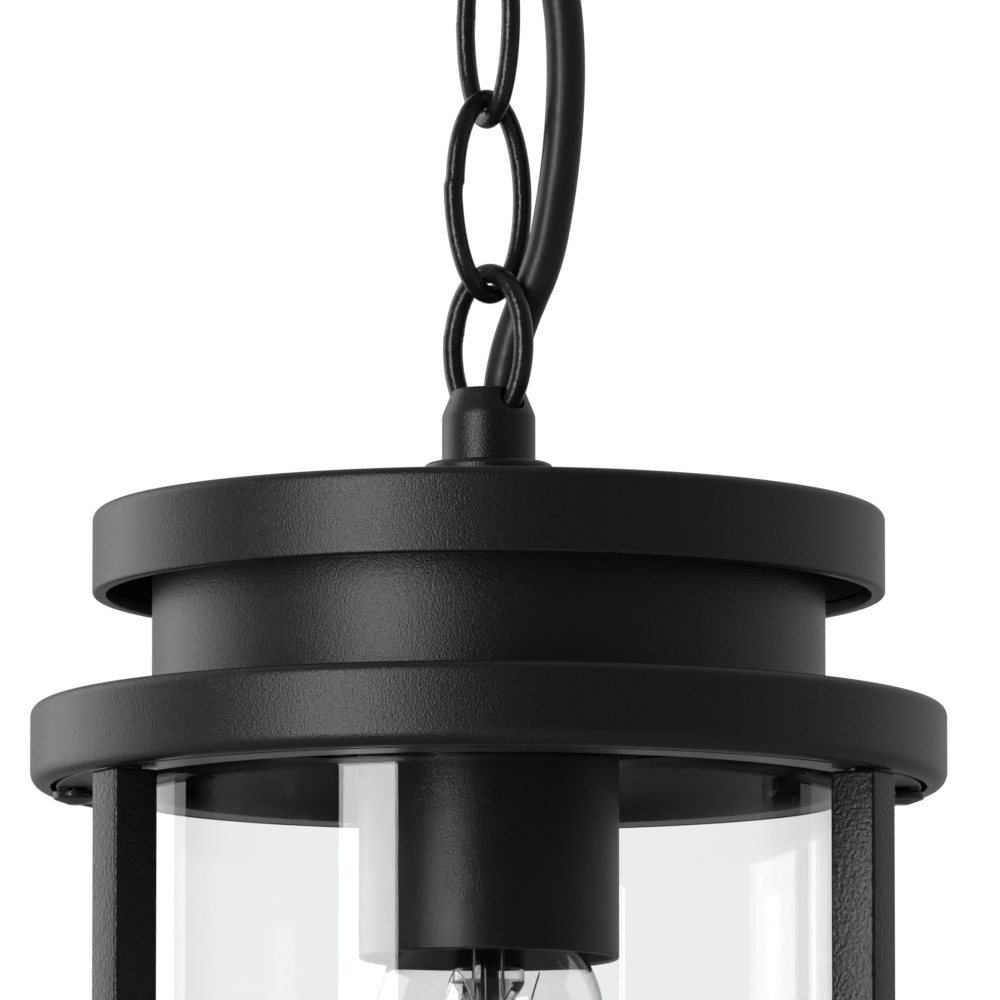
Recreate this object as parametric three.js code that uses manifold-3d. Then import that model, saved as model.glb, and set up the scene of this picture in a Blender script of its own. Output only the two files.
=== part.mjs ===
// Hanging lantern: three square posts round a glass tube under a two-stepped round head, on a
// short chain below a ceiling rose. Millimetres, +Z up. The origin is on the ceiling, on the
// line of the chain, at the top face of the rose's back plate.
import * as THREE from 'three';
import { mergeVertices } from 'three/addons/utils/BufferGeometryUtils.js';
import Module from 'manifold-3d';

const wasm = await Module();
wasm.setup();

// Driving dimensions
const fit = 0.3; // clearance between pieces that touch, screw or slide together

// ceiling rose
const roseRadius = 45;
const roseHeight = 26;
const roseWall = 1.4;
const backPlateRadius = 38;
const backPlateThickness = 2.5;
const ceilingScrewHoleRadius = 2.6;
const ceilingScrewSpacing = 54;
const shankRadius = 3;
const eyeRadius = 8; // centreline of the closed eye
const eyeWire = 4.2;
const eyeDrop = 15.5; // eye's centre below the rose
const glandX = 13.2;
const glandY = -1.3;
const glandLength = 21;

// chain
const linkLength = 42.4;
const linkWidth = 22.6;
const linkWire = 3.7;
const lowerLinkLength = 33.1;
const lowerLinkWidth = 22.5;
const lowerLinkWire = 3.9;
const linkTurns = [-42, 45, -62]; // degrees about the upright, lowest link first

// cable
const cableRadius = 3.8;
const coreRadius = 1.2;

// chain loop on top of the lantern
const loopOffsetX = 0.1; // lantern's own axis, from the line of the chain
const loopOffsetY = 1.7;
const loopCover = 6.45; // loop's top above the centre of the link's wire
const loopRadius = 9.15;
const loopTopRadius = 7;
const loopTaper = 5.2;
const loopHeight = 14.3;
const loopThreadRadius = 8;
const loopThreadLength = 27;
const collarRadius = 12.7;
const collarHeight = 2.5;
const sealThickness = 0.7;
const nutAcrossFlats = 22;
const nutHeight = 4;
const washerThickness = 1.2;

// head: domed cap, neck and ring
const capRadius = 77.5;
const capHeight = 16.4;
const capDome = 6;
const capEdge = 2; // radius of the cap's rounded edges
const sheet = 1.8; // thickness of the pressed steel pieces
const neckRadius = 65.8;
const neckHeight = 21.7; // neck seen between the ring and the cap
const neckRise = 9; // how far the neck goes on up inside the cap
const ringRadius = 89.5;
const ringHeight = 16.2;
const ringEdge = 2; // radius of the ring's top edge
const ringFoot = 3.2; // radius of the ring's bottom edge
const ringLip = 4; // width of the ring's inward lip
const ringMouth = 24; // radius of the wiring hole in the ring's top plate

// cage: posts, flat rings, glass and base
const bodyHeight = 240; // ring's bottom to the base's bottom
const postSide = 9.4;
const postInset = 7.6; // posts' centres, in from the ring's outside
const postCount = 3;
const firstPost = 91.5; // degrees
const cageRingThickness = 3;
const cageRingInset = 0; // top cage ring's underside above the ring's bottom
const glassInset = 17; // glass tube's outside, in from the ring's outside
const glassWall = 3.2;
const gasketThickness = 1.2;
const baseHeight = 16.2;
const screwInset = 9.1; // screws' centres, in from the ring's outside
const screwHeadRadius = 4.7;
const screwHeadHeight = 2.6;
const screwRadius = 2;

// lampholder and bulb
const cupRadius = 25.45;
const cupWall = 1.2;
const cupDrop = 33.3; // cup's mouth below the ring's bottom
const holderRadius = 19;
const shellRadius = 14.4; // inside of the holder
const bulbRadius = 22.5;
const bulbDrop = 45.1; // centre of the bulb below the ring's bottom
const bulbNeckRadius = 12;
const bulbCapRadius = 13.1;
const bulbWall = 0.8;

// Circles under the ring
const postCircle = ringRadius - postInset;
const screwCircle = ringRadius - screwInset;
const glassRadius = ringRadius - glassInset;
const cageRingInner = glassRadius + 2.3;
const cageRingOuter = ringRadius - ringLip - 1.1;

// Heights along the chain, from the ceiling down
const eyeZ = -roseHeight - eyeDrop;
const upperLinkZ = eyeZ - eyeRadius + eyeWire / 2 + fit + linkWire - linkLength / 2;
const linkStep = linkLength - 2 * linkWire - fit;
const middleLinkZ = upperLinkZ - linkStep;
const lowerLinkTop = middleLinkZ - linkLength / 2 + linkWire + fit + lowerLinkWire;
const lowerLinkZ = lowerLinkTop - lowerLinkLength / 2;
const hangZ = lowerLinkTop - lowerLinkLength + lowerLinkWire / 2; // wire that carries the lantern

// Heights in the lantern, from the ring's bottom up
const neckTop = ringHeight + neckHeight + neckRise;
const capBottom = ringHeight + neckHeight;
const capTop = capBottom + capHeight;
const sealBottom = capTop + capDome + fit;
const collarBottom = sealBottom + sealThickness + fit;
const loopBottom = collarBottom + collarHeight + fit;
const loopTop = loopBottom + loopHeight;
const ringPlateBottom = ringHeight - sheet;
const lanternZ = hangZ + loopCover - loopTop;
const cageRingTop = cageRingInset + cageRingThickness;
const baseTop = -bodyHeight + baseHeight;
const bottomRingTop = baseTop + fit + cageRingThickness;

// Finishes
const finish = (color, roughness, metalness, opacity = 1) =>
  new THREE.MeshStandardMaterial({ color, roughness, metalness, opacity, transparent: opacity < 1 });
const blackCoat = finish(0x1e1e1f, 0.55, 0.3);
const blackRubber = finish(0x161617, 0.5, 0);
const clearGlass = finish(0xeef3f2, 0.05, 0, 0.3);
const zincSteel = finish(0xa9abad, 0.4, 0.9);
const brass = finish(0xb99545, 0.35, 0.9);
const paleCeramic = finish(0xe8e4da, 0.5, 0);
const whitePlastic = finish(0xdedede, 0.6, 0);
const tungsten = finish(0x8a7a60, 0.4, 0.8);

// Solids
function solidOf(geometry) {
  const bare = new THREE.BufferGeometry();
  bare.setAttribute('position', geometry.getAttribute('position').clone());
  if (geometry.index) {
    bare.setIndex(geometry.index.clone());
  }
  const merged = mergeVertices(bare, 1e-4);
  const place = merged.getAttribute('position').array;
  const kept = [];
  let volume = 0;
  const index = merged.index.array;
  const corner = [new THREE.Vector3(), new THREE.Vector3(), new THREE.Vector3()];
  for (let i = 0; i < index.length; i += 3) {
    const [a, b, c] = [index[i], index[i + 1], index[i + 2]];
    if (a !== b && b !== c && c !== a) {
      kept.push(a, b, c);
      corner.forEach((v, k) => v.fromArray(place, index[i + k] * 3));
      volume += corner[0].dot(corner[1].cross(corner[2]));
    }
  }
  if (volume < 0) {
    kept.reverse();
  }
  const mesh = new wasm.Mesh({
    numProp: 3,
    vertProperties: new Float32Array(place),
    triVerts: new Uint32Array(kept),
  });
  return new wasm.Manifold(mesh);
}

function node(name, solid, material) {
  const made = solid.getMesh();
  const geometry = new THREE.BufferGeometry();
  geometry.setAttribute('position', new THREE.BufferAttribute(new Float32Array(made.vertProperties), 3));
  geometry.setIndex(new THREE.BufferAttribute(new Uint32Array(made.triVerts), 1));
  const mesh = new THREE.Mesh(geometry, material);
  mesh.name = name;
  return mesh;
}

// A closed outline from corners [radius, height, rounding], with an arc at each rounded corner.
function outline(corners, steps = 2) {
  const points = [];
  corners.forEach(([r, z, rounding = 0], i) => {
    const here = new THREE.Vector2(r, z);
    if (!rounding) {
      points.push(here);
      return;
    }
    const before = corners[(i + corners.length - 1) % corners.length];
    const after = corners[(i + 1) % corners.length];
    const back = new THREE.Vector2(before[0] - r, before[1] - z).normalize();
    const on = new THREE.Vector2(after[0] - r, after[1] - z).normalize();
    const half = Math.acos(THREE.MathUtils.clamp(back.dot(on), -1, 1)) / 2;
    const reach = rounding / Math.tan(half);
    const middle = back.clone().add(on).normalize().multiplyScalar(rounding / Math.sin(half)).add(here);
    const from = here.clone().addScaledVector(back, reach).sub(middle);
    const to = here.clone().addScaledVector(on, reach).sub(middle);
    let turn = to.angle() - from.angle();
    turn -= Math.round(turn / (2 * Math.PI)) * 2 * Math.PI;
    for (let k = 0; k <= steps; k += 1) {
      points.push(from.clone().rotateAround(new THREE.Vector2(), (turn * k) / steps).add(middle));
    }
  });
  return points;
}

// A solid turned about the upright from the same kind of corners.
function turned(corners, segments, steps = 2) {
  const points = outline(corners, steps);
  points.push(points[0].clone());
  return solidOf(new THREE.LatheGeometry(points, segments).rotateX(Math.PI / 2));
}

function tubeRing(inner, outer, bottom, top, segments) {
  return turned([[inner, bottom], [outer, bottom], [outer, top], [inner, top]], segments);
}

function rod(radius, bottom, top, segments = 16) {
  return turned([[0, bottom], [radius, bottom], [radius, top], [0, top]], segments);
}

function block(width, depth, bottom, top) {
  const shape = new THREE.BoxGeometry(width, depth, top - bottom);
  return solidOf(shape.translate(0, 0, (bottom + top) / 2));
}

function hexNut(acrossFlats, bore, bottom, top) {
  const body = rod(acrossFlats / 2 / Math.cos(Math.PI / 6), bottom, top, 6);
  return body.subtract(rod(bore, bottom - 1, top + 1, 32));
}

// A round wire or cable along points [x, y, z].
function cableAlong(points, radius, steps, sides = 10) {
  const route = new THREE.CatmullRomCurve3(points.map((p) => new THREE.Vector3(...p)), false, 'centripetal');
  const section = new THREE.Shape().absarc(0, 0, radius, 0, 2 * Math.PI);
  const spin = { steps, curveSegments: sides / 2, bevelEnabled: false, extrudePath: route };
  return solidOf(new THREE.ExtrudeGeometry(section, spin));
}

// An oval of round wire standing on end: a torus whose circle is stretched to an ellipse.
function ovalLink(length, width, wire, thicker = 0, around = 32, sides = 10) {
  const high = (length - wire) / 2;
  const wide = (width - wire) / 2;
  const torus = new THREE.TorusGeometry(wide, wire / 2 + thicker, sides, around);
  const place = torus.getAttribute('position');
  for (let i = 0; i < place.count; i += 1) {
    const angle = Math.atan2(place.getY(i), place.getX(i));
    const out = Math.hypot(place.getX(i), place.getY(i)) - wide;
    const normal = new THREE.Vector2(Math.cos(angle) / wide, Math.sin(angle) / high).normalize();
    place.setXY(i, wide * Math.cos(angle) + out * normal.x, high * Math.sin(angle) + out * normal.y);
  }
  return solidOf(torus.rotateX(Math.PI / 2));
}

const radians = THREE.MathUtils.degToRad;
const around = (radius, degrees) => [radius * Math.cos(radians(degrees)), radius * Math.sin(radians(degrees))];

const lamp = new THREE.Group();
const lantern = new THREE.Group();
lantern.position.set(loopOffsetX, loopOffsetY, lanternZ);
lamp.add(lantern);

// Ceiling rose: back plate on the ceiling, threaded boss, cup-shaped cover, eye bolt and its nut
const bossBottom = -roseHeight + roseWall + fit;
const boreTop = -backPlateThickness - fit - 3;

function ceilingPlate() {
  let plate = rod(backPlateRadius, -backPlateThickness, 0, 36);
  for (const side of [-1, 1]) {
    const hole = rod(ceilingScrewHoleRadius, -backPlateThickness - 1, 1);
    plate = plate.subtract(hole.translate(0, (side * ceilingScrewSpacing) / 2, 0));
  }
  return plate;
}

function roseCover() {
  const inner = roseRadius - roseWall;
  const floor = -roseHeight + roseWall;
  const cup = turned(
    [[shankRadius + fit, -roseHeight], [roseRadius, -roseHeight, 5], [roseRadius, -fit],
      [inner, -fit], [inner, floor, 4], [shankRadius + fit, floor]],
    40,
  );
  const glandHole = rod(5 + fit, -roseHeight - 1, floor + 1, 20);
  return cup.subtract(glandHole.translate(glandX, glandY, 0));
}

function roseBoss() {
  const body = rod(6, bossBottom, -backPlateThickness - fit, 20);
  return body.subtract(rod(shankRadius + fit, bossBottom - 1, boreTop, 20));
}

function eyeBolt() {
  const ring = new THREE.TorusGeometry(eyeRadius, eyeWire / 2, 10, 28);
  const eye = solidOf(ring.rotateX(Math.PI / 2)).rotate([0, 0, linkTurns[2] + 90]);
  return eye.translate(0, 0, eyeZ).add(rod(shankRadius, eyeZ + eyeRadius, boreTop - fit, 20));
}

// Moulded strain relief: a grooved bush in the rose, then a long taper round the cable
function roseGland() {
  const bottom = -roseHeight - glandLength;
  const bore = cableRadius + fit;
  const sleeve = turned(
    [[bore, bottom], [cableRadius + 0.9, bottom], [6, -roseHeight - 3.2], [6.5, -roseHeight - 3.2],
      [6.5, -roseHeight - fit], [5, -roseHeight - fit], [5, -roseHeight + roseWall + fit],
      [6.4, -roseHeight + roseWall + fit], [6.4, -roseHeight + 4.4], [bore, -roseHeight + 4.4]],
    20,
  );
  return sleeve.translate(glandX, glandY, 0);
}

function roseTerminal() {
  return block(20, 13, -roseHeight + 7.6, -roseHeight + 17.6).translate(glandX + 4.4, glandY, 0);
}

lamp.add(
  node('ceiling_plate', ceilingPlate(), zincSteel),
  node('rose_cover', roseCover(), blackCoat),
  node('rose_boss', roseBoss(), zincSteel),
  node('eye_bolt', eyeBolt(), blackCoat),
  node('eye_nut', hexNut(10, shankRadius + fit, -roseHeight - 4.3, -roseHeight - fit), blackCoat),
  node('rose_gland', roseGland(), blackRubber),
  node('rose_terminal', roseTerminal(), whitePlastic),
);

// Chain: two long links and a shorter one that passes through the lantern's loop
const lowerLink = (thicker) =>
  ovalLink(lowerLinkLength, lowerLinkWidth, lowerLinkWire, thicker)
    .rotate([0, 0, linkTurns[0]])
    .translate(0, 0, lowerLinkZ);
const longLink = (turn, height) =>
  ovalLink(linkLength, linkWidth, linkWire).rotate([0, 0, turn]).translate(0, 0, height);

lamp.add(
  node('chain_link_upper', longLink(linkTurns[2], upperLinkZ), blackCoat),
  node('chain_link_middle', longLink(linkTurns[1], middleLinkZ), blackCoat),
  node('chain_link_lower', lowerLink(0), blackCoat),
);

// Supply cable: from the loop, bowed out beside the chain, up into the rose's gland
const cableRoute = [
  [2.7, 5.7, -145.2], [2.7, 5.7, -143.5], [2.7, 5.7, -141.5], [2.8, 5.5, -137.3], [3.4, 4.7, -133], [4.6, 3.6, -128],
  [6.3, 2.5, -123], [8.3, 1.4, -118.2], [9.7, 0.7, -115], [11.4, 0.4, -109.6], [13.2, 0.2, -99.7],
  [14.4, 0, -90], [15.1, -0.4, -80], [15.2, -0.7, -72], [14.8, -1, -64.2], [13.9, -1.2, -57],
  [13.4, -1.3, -51], [13.2, -1.3, -45], [13.2, -1.3, -38], [13.2, -1.3, -30], [13.2, -1.3, -20],
];
lamp.add(node('supply_cable', cableAlong(cableRoute, cableRadius, 56), blackRubber));

// Chain loop: turned stem with a hole across it for the lowest link and a passage for the cable
const tailRoute = [
  [2.7, 5.7, -145.8], [2.7, 5.7, -147.2], [2.5, 5.35, -150], [1.75, 4.3, -154], [0.85, 2.9, -159], [0.3, 2.05, -164],
  [0.1, 1.7, -172], [0.1, 1.7, -180], [0.1, 1.7, -189],
];

function loopCuts() {
  const mouth = [[3.4, 4.4, -131], [2.8, 5.5, -137.3], [2.7, 5.7, -142], ...tailRoute];
  const beyond = [0.1, 1.7, -200];
  let cut = cableAlong([...mouth, beyond], cableRadius + 0.35, 28, 10);
  const axis = new THREE.Vector3(...around(1, linkTurns[0]), 0);
  for (const swing of [-9, 0, 9]) {
    const turn = new THREE.Matrix4().makeTranslation(0, 0, hangZ);
    turn.multiply(new THREE.Matrix4().makeRotationAxis(axis, radians(swing)));
    turn.multiply(new THREE.Matrix4().makeTranslation(0, 0, -hangZ));
    cut = cut.add(lowerLink(fit).transform(turn.elements));
  }
  return cut.translate(-loopOffsetX, -loopOffsetY, -lanternZ);
}

function chainLoop() {
  const shoulder = loopTop - loopTaper;
  const threadBottom = loopBottom - loopThreadLength;
  const stem = turned(
    [[0, threadBottom], [loopThreadRadius, threadBottom], [loopThreadRadius, loopBottom],
      [loopRadius, loopBottom], [loopRadius, shoulder, 3.5], [loopTopRadius, loopTop, 0.8],
      [0, loopTop]],
    30,
  );
  const pieces = stem.subtract(loopCuts()).decompose(); // the stem, and crumbs of the cut
  return pieces.sort((a, b) => b.volume() - a.volume())[0];
}

const threadHole = loopThreadRadius + fit;
const plateUnderDome = capTop + capDome - sheet;
const nutTop = neckTop - sheet - fit - washerThickness - fit;

function topCap() {
  const wall = capRadius - sheet;
  const flat = collarRadius + 6;
  return turned(
    [[threadHole, plateUnderDome], [flat, plateUnderDome], [wall, capTop - sheet, capEdge / 2],
      [wall, capBottom + 3, 0.4], [wall - 0.8, capBottom + 2.4], [wall - 0.8, capBottom],
      [capRadius, capBottom, capEdge / 2], [capRadius, capTop, capEdge],
      [flat, capTop + capDome], [threadHole, capTop + capDome]],
    48,
  );
}

function neckDrum() {
  const inner = neckRadius - sheet;
  const bottom = ringHeight + fit;
  return turned(
    [[inner, bottom], [neckRadius, bottom], [neckRadius, neckTop, 1.5], [threadHole, neckTop],
      [threadHole, neckTop - sheet], [inner, neckTop - sheet]],
    48,
  );
}

// Ring: a pressed pan with a flat top plate, an upright wall and a lip turned in at the bottom
function ringPan() {
  const wall = ringRadius - sheet;
  const lip = ringRadius - ringLip;
  return turned(
    [[ringMouth, ringPlateBottom], [wall, ringPlateBottom, 1], [wall, sheet, 1], [lip, sheet],
      [lip, 0], [ringRadius, 0, ringFoot], [ringRadius, ringHeight, ringEdge],
      [ringMouth, ringHeight]],
    52,
  );
}

const spacerTop = plateUnderDome - fit;

lantern.add(
  node('chain_loop', chainLoop(), blackCoat),
  node('loop_collar', turned(
    [[threadHole, collarBottom], [collarRadius, collarBottom],
      [collarRadius, collarBottom + collarHeight, 1.2], [threadHole, collarBottom + collarHeight]],
    28,
  ), blackCoat),
  node('loop_seal', tubeRing(threadHole, collarRadius - 1.2, sealBottom, sealBottom + sealThickness, 24), blackRubber),
  node('top_cap', topCap(), blackCoat),
  node('cap_spacer', tubeRing(threadHole, 11, neckTop + fit, spacerTop, 24), zincSteel),
  node('neck_drum', neckDrum(), blackCoat),
  node('loop_washer', tubeRing(threadHole, 13, nutTop + fit, nutTop + fit + washerThickness, 24), zincSteel),
  node('loop_nut', hexNut(nutAcrossFlats, threadHole, nutTop - nutHeight, nutTop), zincSteel),
  node('ring_pan', ringPan(), blackCoat),
);

// Wiring inside the neck: the cable's tail, a clamp on it, a terminal block and its cores
const clampZ = ringHeight + 17.5;
const blockY = -24;
const blockBottom = ringHeight + fit;
const blockTop = blockBottom + 11;

function cableClamp() {
  const body = block(22, 12, -3, 3);
  const bore = rod(cableRadius + fit, -4, 4, 24);
  return body.subtract(bore).translate(0, 0, clampZ);
}

// A thin insulated core from one place in the lantern to another
const core = (points) => cableAlong(points, coreRadius, 12, 6);
const tailEnd = -189 - lanternZ - 2 * fit;

lantern.add(
  node('cable_tail', cableAlong(tailRoute, cableRadius, 16, 10)
    .translate(-loopOffsetX, -loopOffsetY, -lanternZ), blackRubber),
  node('cable_clamp', cableClamp(), whitePlastic),
  node('terminal_block', block(34, 14, blockBottom, blockTop).translate(0, blockY, 0), whitePlastic),
);
for (const [i, name] of ['core_live', 'core_neutral', 'core_earth'].entries()) {
  const x = (i - 1) * 9;
  const leave = (i - 1) * 2.8;
  const down = [[leave, 0, tailEnd], [leave, -0.6, tailEnd - 2.5], [leave + x * 0.2, -4, 21.8],
    [x * 0.8, -10, 21.5], [x, blockY + 7.7, 21.5]];
  lantern.add(node(name, core(down), [tungsten, finish(0x2c5f9e, 0.5, 0), finish(0x6f9a3a, 0.5, 0)][i]));
}

// Lampholder: ceramic body hung through the ring's plate from a strap, with its metal screw shell
const strapTop = ringHeight + fit + 1.6;
const holderTop = ringHeight;
const holderMouth = -cupDrop + 8;
const cavityTop = holderTop - 11;
const strapReach = 35;

function holderStrap() {
  let strap = block(2 * strapReach, 14, ringHeight + fit, strapTop);
  for (const side of [-1, 1]) {
    strap = strap.subtract(rod(2.3, ringHeight, strapTop + 1).translate(side * 30, 0, 0));
    strap = strap.subtract(rod(2.3, ringHeight, strapTop + 1).translate(side * 12, 0, 0));
  }
  return strap;
}

function holderBody() {
  let body = turned(
    [[0, cavityTop], [shellRadius, cavityTop], [shellRadius, holderMouth],
      [holderRadius, holderMouth, 1.2], [holderRadius, holderTop, 1.5], [0, holderTop]],
    30,
  );
  for (const side of [-1, 1]) {
    body = body.subtract(rod(2.3, cavityTop + 2.5, holderTop + 1).translate(side * 12, 0, 0));
  }
  return body;
}

// A pan-head screw, head up, with its shank down to a depth
function panScrew(headBottom, shankBottom, radius = 2, head = 3.6) {
  const corners = [[0, shankBottom], [radius, shankBottom], [radius, headBottom],
    [head, headBottom], [head, headBottom + 2.2, 1], [0, headBottom + 2.2]];
  return turned(corners, 12, 1);
}

const capMouth = -cupDrop + 9;
const shellTop = cavityTop - 2.5;

lantern.add(
  node('lamp_cup', turned(
    [[cupRadius - cupWall, -cupDrop, 0.4], [cupRadius, -cupDrop, 0.7],
      [cupRadius, ringPlateBottom - fit], [holderRadius + 1, ringPlateBottom - fit],
      [holderRadius + 1, ringPlateBottom - fit - cupWall],
      [cupRadius - cupWall, ringPlateBottom - fit - cupWall]],
    40,
  ), blackCoat),
  node('holder_strap', holderStrap(), zincSteel),
  node('holder_body', holderBody(), paleCeramic),
  node('screw_shell', tubeRing(shellRadius - 0.8, shellRadius - fit, holderMouth + 3, shellTop, 28), brass),
  node('centre_contact', block(14, 5, cavityTop - 1.1, cavityTop - fit), brass),
);
for (const [i, side] of [-1, 1].entries()) {
  const at = (x) => [side * x, 0, 0];
  lantern.add(
    node(`holder_screw_${i + 1}`, panScrew(strapTop + fit, cavityTop + 3.2).translate(at(12)), zincSteel),
    node(`ring_boss_${i + 1}`, tubeRing(screwRadius + fit, 4, cageRingTop + fit, ringPlateBottom - fit, 20)
      .translate(at(screwCircle)), zincSteel),
  );
}
lantern.add(
  node('top_gasket', tubeRing(
    glassRadius - glassWall - 0.6, glassRadius + 0.6,
    ringPlateBottom - fit - gasketThickness, ringPlateBottom - fit, 40,
  ), blackRubber),
);

// Cage: two flat rings joined by square posts, with the glass tube and the base pan
const postTop = cageRingInset - fit;
const postBottom = bottomRingTop + fit;
const postAngles = Array.from({ length: postCount }, (_, i) => firstPost + (i * 360) / postCount);
const glassTop = ringPlateBottom - 2 * fit - gasketThickness - fit;
const glassBottom = baseTop + 2 * fit + gasketThickness;
const postBore = 9;

function flatRing(bottom, top, holes) {
  let ring = tubeRing(cageRingInner, cageRingOuter, bottom, top, 48);
  for (const [x, y] of holes) {
    ring = ring.subtract(rod(screwRadius + fit, bottom - 1, top + 1).translate(x, y, 0));
  }
  return ring;
}

function post(degrees) {
  let bar = block(postSide, postSide, postBottom, postTop).translate(postCircle, 0, 0);
  bar = bar.subtract(rod(screwRadius + fit, postTop - postBore, postTop + 1).translate(screwCircle, 0, 0));
  bar = bar.subtract(rod(screwRadius + fit, postBottom - 1, postBottom + postBore).translate(screwCircle, 0, 0));
  return bar.rotate([0, 0, degrees]);
}

// Base: the same pressed pan as the ring, closed on top and open below
function basePan() {
  const wall = ringRadius - sheet;
  const lip = ringRadius - ringLip;
  const bottom = -bodyHeight;
  let pan = turned(
    [[0, baseTop - sheet], [wall, baseTop - sheet, 1], [wall, bottom + sheet, 1],
      [lip, bottom + sheet], [lip, bottom], [ringRadius, bottom, ringEdge],
      [ringRadius, baseTop, ringEdge], [0, baseTop]],
    52,
  );
  const holes = postAngles.map((angle) => around(screwCircle, angle));
  for (const [x, y] of holes) {
    pan = pan.subtract(rod(screwRadius + fit, baseTop - sheet - 1, baseTop + 1).translate(x, y, 0));
  }
  return pan.subtract(rod(2.5, baseTop - sheet - 1, baseTop + 1));
}

const topHoles = [[-screwCircle, 0], [screwCircle, 0], ...postAngles.map((angle) => around(screwCircle, angle))];
lantern.add(
  node('cage_ring_top', flatRing(cageRingInset, cageRingTop, topHoles), blackCoat),
  node('cage_ring_bottom', flatRing(baseTop + fit, bottomRingTop, topHoles.slice(2)), blackCoat),
  node('glass_tube', tubeRing(glassRadius - glassWall, glassRadius, glassBottom, glassTop, 48), clearGlass),
  node('bottom_gasket', tubeRing(
    glassRadius - glassWall - 0.6, glassRadius + 0.6, baseTop + fit, glassBottom - fit, 40,
  ), blackRubber),
  node('base_pan', basePan(), blackCoat),
);
for (const [i, angle] of postAngles.entries()) {
  const [x, y] = around(screwCircle, angle);
  const upper = panScrew(cageRingTop + fit, postTop - postBore + 1);
  const lower = panScrew(0, -(postBottom + postBore - 1 - (baseTop - sheet - fit)));
  lantern.add(
    node(`post_${i + 1}`, post(angle), blackCoat),
    node(`post_screw_top_${i + 1}`, upper.translate(x, y, 0), zincSteel),
    node(`post_screw_base_${i + 1}`, lower.rotate([180, 0, 0])
      .translate(x, y, baseTop - sheet - fit), zincSteel),
  );
}

// Captive screws that hold the cage up under the ring, with domed heads below
function captiveScrew() {
  const headTop = cageRingInset - fit;
  const bottom = headTop - screwHeadHeight;
  return turned(
    [[0, bottom], [screwHeadRadius, bottom, 1.5], [screwHeadRadius, headTop, 0.3],
      [screwRadius, headTop], [screwRadius, ringPlateBottom - 2.5], [0, ringPlateBottom - 2.5]],
    16,
  );
}
lantern.add(
  node('captive_screw_left', captiveScrew().translate(-screwCircle, 0, 0), blackCoat),
  node('captive_screw_right', captiveScrew().translate(screwCircle, 0, 0), blackCoat),
);

// Bulb: glass ball on a neck, metal screw cap, glass mount inside and a looped filament
const ballZ = -bulbDrop;
const neckMeets = Math.sqrt(bulbRadius ** 2 - bulbNeckRadius ** 2);
const glassOpen = capMouth + 5;

function ballArc(radius, meets, steps) {
  const start = Math.asin(meets / radius);
  return Array.from({ length: steps + 1 }, (_, i) => {
    const angle = start - ((start + Math.PI / 2) * i) / steps;
    return [radius * Math.cos(angle), ballZ + radius * Math.sin(angle)];
  });
}

function bulbGlass() {
  const inner = bulbRadius - bulbWall;
  const innerMeets = Math.sqrt(inner ** 2 - (bulbNeckRadius - bulbWall) ** 2);
  const outside = ballArc(bulbRadius, neckMeets, 10);
  const inside = ballArc(inner, innerMeets, 9).reverse();
  outside[outside.length - 1][0] = 0;
  inside[0][0] = 0;
  return turned([[bulbNeckRadius - bulbWall, glassOpen], [bulbNeckRadius, glassOpen], ...outside, ...inside], 28);
}

function bulbCap() {
  const top = shellTop - 2;
  return turned(
    [[0, top + 2.8], [4.6, top + 2.8, 1], [4.6, top + 1.2], [11, top - 1.5],
      [bulbCapRadius, top - 2.5], [bulbCapRadius, capMouth], [bulbNeckRadius + fit, capMouth],
      [bulbNeckRadius + fit, top - 3.5], [0, top - 1.5]].reverse(),
    28,
  );
}

function bulbMount() {
  const foot = glassOpen;
  return turned(
    [[0, foot], [bulbNeckRadius - bulbWall - 1, foot], [7, foot - 7, 2], [6.6, ballZ + 6, 2],
      [1.6, ballZ - 2], [1.6, ballZ - 9, 0.5], [2.4, ballZ - 10.5, 0.8], [0, ballZ - 11.5]].reverse(),
    16,
  );
}

function bulbFilament() {
  const points = [];
  const turns = 6;
  for (let i = 0; i <= turns; i += 1) {
    const [x, y] = around(10.5, 20 + (i * 320) / turns);
    points.push([x, y, ballZ + (i % 2 ? -10 : 9)]);
  }
  return cableAlong(points, 0.6, 36, 6);
}

lantern.add(
  node('bulb_glass', bulbGlass(), clearGlass),
  node('bulb_cap', bulbCap(), zincSteel),
  node('bulb_mount', bulbMount(), clearGlass),
  node('bulb_filament', bulbFilament(), tungsten),
);

export default lamp;
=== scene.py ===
from math import acos, asin, atan2, cos, exp, pi, radians, sin, sqrt, tan, tanh

import bmesh
import bpy
from mathutils import Matrix, Vector


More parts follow.
